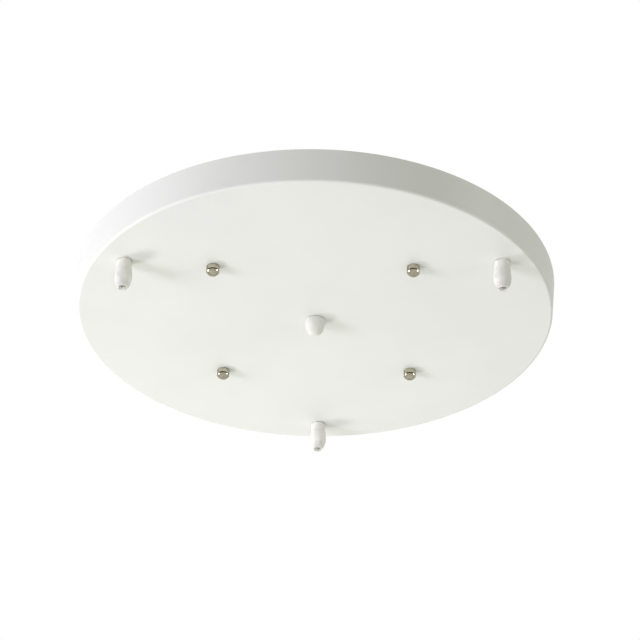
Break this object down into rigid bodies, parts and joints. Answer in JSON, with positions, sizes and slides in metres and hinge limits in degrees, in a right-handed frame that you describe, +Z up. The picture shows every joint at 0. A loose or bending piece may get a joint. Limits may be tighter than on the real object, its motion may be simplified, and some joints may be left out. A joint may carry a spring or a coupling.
{
  "type": "pendant light ceiling canopy",
  "caption": "Shallow round ceiling canopy for hanging pendant lamps, with cord grips, a blanking plug and round nuts holding it to a crossed bracket.",
  "frame": {"origin": "middle of the ceiling side of the crossed bracket, in the plane where the rim and the bracket's arms meet the ceiling", "axes": "+Z up towards the ceiling, the visible face looks down along -Z; one cord grip lies on +Y and the picture looks along +Y from below"},
  "size_m": [0.35, 0.35, 0.0473],
  "materials": {
    "powder_coat": "satin white powder coat",
    "zinc": "bright zinc plating",
    "nickel": "polished nickel plating",
    "nylon": "white moulded nylon",
    "brass": "plain turned brass"
  },
  "bodies": {
    "canopy": {"canopy_pan": "powder_coat", "bracket_bar_upper": "zinc", "bracket_bar_lower": "zinc", "bracket_rivet": "zinc", "stud_1": "zinc", "stud_nut_1": "zinc", "stud_2": "zinc", "stud_nut_2": "zinc", "stud_3": "zinc", "stud_nut_3": "zinc", "stud_4": "zinc", "stud_nut_4": "zinc", "grip_body_1": "nylon", "grip_nut_1": "nylon", "grip_body_2": "nylon", "grip_nut_2": "nylon", "grip_body_3": "nylon", "grip_nut_3": "nylon", "centre_plug": "nylon", "centre_plug_nut": "nylon", "earth_stud": "brass", "earth_washer": "zinc", "earth_nut": "brass"},
    "clamp_cap_1": {"grip_cap_1": "nylon"},
    "clamp_cap_2": {"grip_cap_2": "nylon"},
    "clamp_cap_3": {"grip_cap_3": "nylon"},
    "round_nut_1": {"cap_nut_1": "nickel"},
    "round_nut_2": {"cap_nut_2": "nickel"},
    "round_nut_3": {"cap_nut_3": "nickel"},
    "round_nut_4": {"cap_nut_4": "nickel"}
  },
  "joints": [
    {"name": "clamp_cap_1_turn", "type": "hinge", "parent": "canopy", "child": "clamp_cap_1", "pos_m": [0, 0.153, -0.025], "axis": [0, 0, -1], "range_deg": [0, 540]},
    {"name": "clamp_cap_2_turn", "type": "hinge", "parent": "canopy", "child": "clamp_cap_2", "pos_m": [-0.1325, -0.0765, -0.025], "axis": [0, 0, -1], "range_deg": [0, 540]},
    {"name": "clamp_cap_3_turn", "type": "hinge", "parent": "canopy", "child": "clamp_cap_3", "pos_m": [0.1325, -0.0765, -0.025], "axis": [0, 0, -1], "range_deg": [0, 540]},
    {"name": "round_nut_1_turn", "type": "hinge", "parent": "canopy", "child": "round_nut_1", "pos_m": [-0.0705, -0.0705, -0.025], "axis": [0, 0, -1], "range_deg": [0, 900]},
    {"name": "round_nut_2_turn", "type": "hinge", "parent": "canopy", "child": "round_nut_2", "pos_m": [0.0705, -0.0705, -0.025], "axis": [0, 0, -1], "range_deg": [0, 900]},
    {"name": "round_nut_3_turn", "type": "hinge", "parent": "canopy", "child": "round_nut_3", "pos_m": [0.0705, 0.0705, -0.025], "axis": [0, 0, -1], "range_deg": [0, 900]},
    {"name": "round_nut_4_turn", "type": "hinge", "parent": "canopy", "child": "round_nut_4", "pos_m": [-0.0705, 0.0705, -0.025], "axis": [0, 0, -1], "range_deg": [0, 900]}
  ]
}
